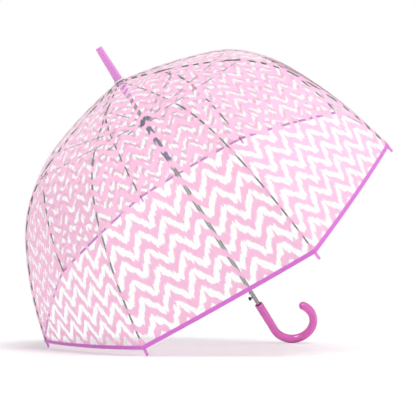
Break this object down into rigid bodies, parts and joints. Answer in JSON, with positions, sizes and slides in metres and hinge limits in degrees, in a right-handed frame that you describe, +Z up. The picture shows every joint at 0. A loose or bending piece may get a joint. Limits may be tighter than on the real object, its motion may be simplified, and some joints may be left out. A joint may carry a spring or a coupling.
{
  "type": "children's umbrella",
  "caption": "Clear dome umbrella for a child, with pale-pink zigzag film, pink hem tape, ferrule and crook handle; it folds with its sliding runner.",
  "frame": {"origin": "on the ground, below the middle of the open umbrella's bounding box", "axes": "+Z up from the ground the open umbrella lies on; +X from the ferrule's side towards the handle, in the plane of the shaft; the umbrella rests on two rib tips and the crook"},
  "size_m": [0.5978, 0.707, 0.5749],
  "materials": {
    "steel": "polished plated steel",
    "rib_steel": "semi-gloss black enamel on spring steel",
    "lever_steel": "brownish passivated spring steel",
    "handle_plastic": "glossy magenta-pink moulding",
    "ferrule_plastic": "satin-gloss orchid-pink moulding",
    "washer_plastic": "clear-grey satin disc",
    "crown_plastic": "satin mauve moulding",
    "runner_plastic": "dark slate-blue moulding",
    "button_plastic": "black moulded button",
    "tip_plastic": "glossy magenta-pink end caps",
    "canopy_film": "clear film printed with pale-pink zigzags, magenta hem tape"
  },
  "bodies": {
    "shaft": {"shaft_tube": "steel", "handle": "handle_plastic", "ferrule": "ferrule_plastic", "ferrule_washer": "washer_plastic", "crown": "crown_plastic", "crown_wire": "steel", "stop_collar": "steel", "opening_spring": "steel"},
    "slider": {"runner": "runner_plastic", "runner_wire": "steel"},
    "trigger": {"trigger_lever": "lever_steel", "trigger_button": "button_plastic"},
    "upper_1": {"rib_upper_1": "rib_steel", "canopy_upper_1": "canopy_film"},
    "lower_1": {"rib_lower_1": "rib_steel", "rib_tip_1": "tip_plastic", "canopy_lower_1": "canopy_film"},
    "strut_1": {"stretcher_1": "steel"},
    "upper_2": {"rib_upper_2": "rib_steel", "canopy_upper_2": "canopy_film"},
    "lower_2": {"rib_lower_2": "rib_steel", "rib_tip_2": "tip_plastic", "canopy_lower_2": "canopy_film"},
    "strut_2": {"stretcher_2": "steel"},
    "upper_3": {"rib_upper_3": "rib_steel", "canopy_upper_3": "canopy_film"},
    "lower_3": {"rib_lower_3": "rib_steel", "rib_tip_3": "tip_plastic", "canopy_lower_3": "canopy_film"},
    "strut_3": {"stretcher_3": "steel"},
    "upper_4": {"rib_upper_4": "rib_steel", "canopy_upper_4": "canopy_film"},
    "lower_4": {"rib_lower_4": "rib_steel", "rib_tip_4": "tip_plastic", "canopy_lower_4": "canopy_film"},
    "strut_4": {"stretcher_4": "steel"},
    "upper_5": {"rib_upper_5": "rib_steel", "canopy_upper_5": "canopy_film"},
    "lower_5": {"rib_lower_5": "rib_steel", "rib_tip_5": "tip_plastic", "canopy_lower_5": "canopy_film"},
    "strut_5": {"stretcher_5": "steel"},
    "upper_6": {"rib_upper_6": "rib_steel", "canopy_upper_6": "canopy_film"},
    "lower_6": {"rib_lower_6": "rib_steel", "rib_tip_6": "tip_plastic", "canopy_lower_6": "canopy_film"},
    "strut_6": {"stretcher_6": "steel"},
    "upper_7": {"rib_upper_7": "rib_steel", "canopy_upper_7": "canopy_film"},
    "lower_7": {"rib_lower_7": "rib_steel", "rib_tip_7": "tip_plastic", "canopy_lower_7": "canopy_film"},
    "strut_7": {"stretcher_7": "steel"},
    "upper_8": {"rib_upper_8": "rib_steel", "canopy_upper_8": "canopy_film"},
    "lower_8": {"rib_lower_8": "rib_steel", "rib_tip_8": "tip_plastic", "canopy_lower_8": "canopy_film"},
    "strut_8": {"stretcher_8": "steel"}
  },
  "joints": [
    {"name": "runner_slide", "type": "slide", "parent": "shaft", "child": "slider", "axis": [0.6812, 0, -0.7321], "range_m": [0, 0.33747], "stiffness_N_per_m": 60, "springref_m": -0.1},
    {"name": "trigger_press", "type": "hinge", "parent": "shaft", "child": "trigger", "pos_m": [0.17835, 0.00102, 0.08665], "axis": [0.5745, 0.6198, 0.5346], "range_deg": [0, 5.5], "stiffness_Nm_per_rad": 0.6, "springref_deg": -5.73},
    {"name": "rib_fold_1", "type": "hinge", "parent": "shaft", "child": "upper_1", "pos_m": [-0.17471, 0.00383, 0.48086], "axis": [-0.2802, 0.9239, -0.2607], "range_deg": [0, 70.34], "deforming": ["canopy_upper_1"]},
    {"name": "rib_flex_1", "type": "hinge", "parent": "upper_1", "child": "lower_1", "pos_m": [0.04231, 0.09533, 0.57192], "axis": [-0.2802, 0.9239, -0.2607], "range_deg": [-42.36, 0], "deforming": ["canopy_lower_1"]},
    {"name": "stretcher_swing_1", "type": "hinge", "parent": "slider", "child": "strut_1", "pos_m": [-0.11871, 0.00383, 0.42068], "axis": [-0.2802, 0.9239, -0.2607], "range_deg": [-80.62, 0]},
    {"name": "rib_fold_2", "type": "hinge", "parent": "shaft", "child": "upper_2", "pos_m": [-0.17867, 0.00924, 0.47717], "axis": [-0.6764, 0.3827, -0.6293], "range_deg": [0, 70.34], "deforming": ["canopy_upper_2"]},
    {"name": "rib_flex_2", "type": "hinge", "parent": "upper_2", "child": "lower_2", "pos_m": [-0.05639, 0.23015, 0.48008], "axis": [-0.6764, 0.3827, -0.6293], "range_deg": [-42.36, 0], "deforming": ["canopy_lower_2"]},
    {"name": "stretcher_swing_2", "type": "hinge", "parent": "slider", "child": "strut_2", "pos_m": [-0.12268, 0.00924, 0.41699], "axis": [-0.6764, 0.3827, -0.6293], "range_deg": [-80.62, 0]},
    {"name": "rib_fold_3", "type": "hinge", "parent": "shaft", "child": "upper_3", "pos_m": [-0.18427, 0.00924, 0.47196], "axis": [-0.6764, -0.3827, -0.6293], "range_deg": [0, 70.34], "deforming": ["canopy_upper_3"]},
    {"name": "rib_flex_3", "type": "hinge", "parent": "upper_3", "child": "lower_3", "pos_m": [-0.19598, 0.23015, 0.3502], "axis": [-0.6764, -0.3827, -0.6293], "range_deg": [-42.36, 0], "deforming": ["canopy_lower_3"]},
    {"name": "stretcher_swing_3", "type": "hinge", "parent": "slider", "child": "strut_3", "pos_m": [-0.12828, 0.00924, 0.41178], "axis": [-0.6764, -0.3827, -0.6293], "range_deg": [-80.62, 0]},
    {"name": "rib_fold_4", "type": "hinge", "parent": "shaft", "child": "upper_4", "pos_m": [-0.18823, 0.00383, 0.46827], "axis": [-0.2802, -0.9239, -0.2607], "range_deg": [0, 70.34], "deforming": ["canopy_upper_4"]},
    {"name": "rib_flex_4", "type": "hinge", "parent": "upper_4", "child": "lower_4", "pos_m": [-0.29468, 0.09533, 0.25837], "axis": [-0.2802, -0.9239, -0.2607], "range_deg": [-42.36, 0], "deforming": ["canopy_lower_4"]},
    {"name": "stretcher_swing_4", "type": "hinge", "parent": "slider", "child": "strut_4", "pos_m": [-0.13224, 0.00383, 0.40809], "axis": [-0.2802, -0.9239, -0.2607], "range_deg": [-80.62, 0]},
    {"name": "rib_fold_5", "type": "hinge", "parent": "shaft", "child": "upper_5", "pos_m": [-0.18823, -0.00383, 0.46827], "axis": [0.2802, -0.9239, 0.2607], "range_deg": [0, 70.34], "deforming": ["canopy_upper_5"]},
    {"name": "rib_flex_5", "type": "hinge", "parent": "upper_5", "child": "lower_5", "pos_m": [-0.29468, -0.09533, 0.25837], "axis": [0.2802, -0.9239, 0.2607], "range_deg": [-42.36, 0], "deforming": ["canopy_lower_5"]},
    {"name": "stretcher_swing_5", "type": "hinge", "parent": "slider", "child": "strut_5", "pos_m": [-0.13224, -0.00383, 0.40809], "axis": [0.2802, -0.9239, 0.2607], "range_deg": [-80.62, 0]},
    {"name": "rib_fold_6", "type": "hinge", "parent": "shaft", "child": "upper_6", "pos_m": [-0.18427, -0.00924, 0.47196], "axis": [0.6764, -0.3827, 0.6293], "range_deg": [0, 70.34], "deforming": ["canopy_upper_6"]},
    {"name": "rib_flex_6", "type": "hinge", "parent": "upper_6", "child": "lower_6", "pos_m": [-0.19598, -0.23015, 0.3502], "axis": [0.6764, -0.3827, 0.6293], "range_deg": [-42.36, 0], "deforming": ["canopy_lower_6"]},
    {"name": "stretcher_swing_6", "type": "hinge", "parent": "slider", "child": "strut_6", "pos_m": [-0.12828, -0.00924, 0.41178], "axis": [0.6764, -0.3827, 0.6293], "range_deg": [-80.62, 0]},
    {"name": "rib_fold_7", "type": "hinge", "parent": "shaft", "child": "upper_7", "pos_m": [-0.17867, -0.00924, 0.47717], "axis": [0.6764, 0.3827, 0.6293], "range_deg": [0, 70.34], "deforming": ["canopy_upper_7"]},
    {"name": "rib_flex_7", "type": "hinge", "parent": "upper_7", "child": "lower_7", "pos_m": [-0.05639, -0.23015, 0.48008], "axis": [0.6764, 0.3827, 0.6293], "range_deg": [-42.36, 0], "deforming": ["canopy_lower_7"]},
    {"name": "stretcher_swing_7", "type": "hinge", "parent": "slider", "child": "strut_7", "pos_m": [-0.12268, -0.00924, 0.41699], "axis": [0.6764, 0.3827, 0.6293], "range_deg": [-80.62, 0]},
    {"name": "rib_fold_8", "type": "hinge", "parent": "shaft", "child": "upper_8", "pos_m": [-0.17471, -0.00383, 0.48086], "axis": [0.2802, 0.9239, 0.2607], "range_deg": [0, 70.34], "deforming": ["canopy_upper_8"]},
    {"name": "rib_flex_8", "type": "hinge", "parent": "upper_8", "child": "lower_8", "pos_m": [0.04231, -0.09533, 0.57192], "axis": [0.2802, 0.9239, 0.2607], "range_deg": [-42.36, 0], "deforming": ["canopy_lower_8"]},
    {"name": "stretcher_swing_8", "type": "hinge", "parent": "slider", "child": "strut_8", "pos_m": [-0.11871, -0.00383, 0.42068], "axis": [0.2802, 0.9239, 0.2607], "range_deg": [-80.62, 0]}
  ],
  "couplings": [
    {"joint": "rib_fold_1", "follows": "runner_slide", "rad_per_m": 3.6381},
    {"joint": "rib_flex_1", "follows": "runner_slide", "rad_per_m": -2.1907},
    {"joint": "stretcher_swing_1", "follows": "runner_slide", "rad_per_m": -4.1696},
    {"joint": "rib_fold_2", "follows": "runner_slide", "rad_per_m": 3.6381},
    {"joint": "rib_flex_2", "follows": "runner_slide", "rad_per_m": -2.1907},
    {"joint": "stretcher_swing_2", "follows": "runner_slide", "rad_per_m": -4.1696},
    {"joint": "rib_fold_3", "follows": "runner_slide", "rad_per_m": 3.6381},
    {"joint": "rib_flex_3", "follows": "runner_slide", "rad_per_m": -2.1907},
    {"joint": "stretcher_swing_3", "follows": "runner_slide", "rad_per_m": -4.1696},
    {"joint": "rib_fold_4", "follows": "runner_slide", "rad_per_m": 3.6381},
    {"joint": "rib_flex_4", "follows": "runner_slide", "rad_per_m": -2.1907},
    {"joint": "stretcher_swing_4", "follows": "runner_slide", "rad_per_m": -4.1696},
    {"joint": "rib_fold_5", "follows": "runner_slide", "rad_per_m": 3.6381},
    {"joint": "rib_flex_5", "follows": "runner_slide", "rad_per_m": -2.1907},
    {"joint": "stretcher_swing_5", "follows": "runner_slide", "rad_per_m": -4.1696},
    {"joint": "rib_fold_6", "follows": "runner_slide", "rad_per_m": 3.6381},
    {"joint": "rib_flex_6", "follows": "runner_slide", "rad_per_m": -2.1907},
    {"joint": "stretcher_swing_6", "follows": "runner_slide", "rad_per_m": -4.1696},
    {"joint": "rib_fold_7", "follows": "runner_slide", "rad_per_m": 3.6381},
    {"joint": "rib_flex_7", "follows": "runner_slide", "rad_per_m": -2.1907},
    {"joint": "stretcher_swing_7", "follows": "runner_slide", "rad_per_m": -4.1696},
    {"joint": "rib_fold_8", "follows": "runner_slide", "rad_per_m": 3.6381},
    {"joint": "rib_flex_8", "follows": "runner_slide", "rad_per_m": -2.1907},
    {"joint": "stretcher_swing_8", "follows": "runner_slide", "rad_per_m": -4.1696}
  ]
}
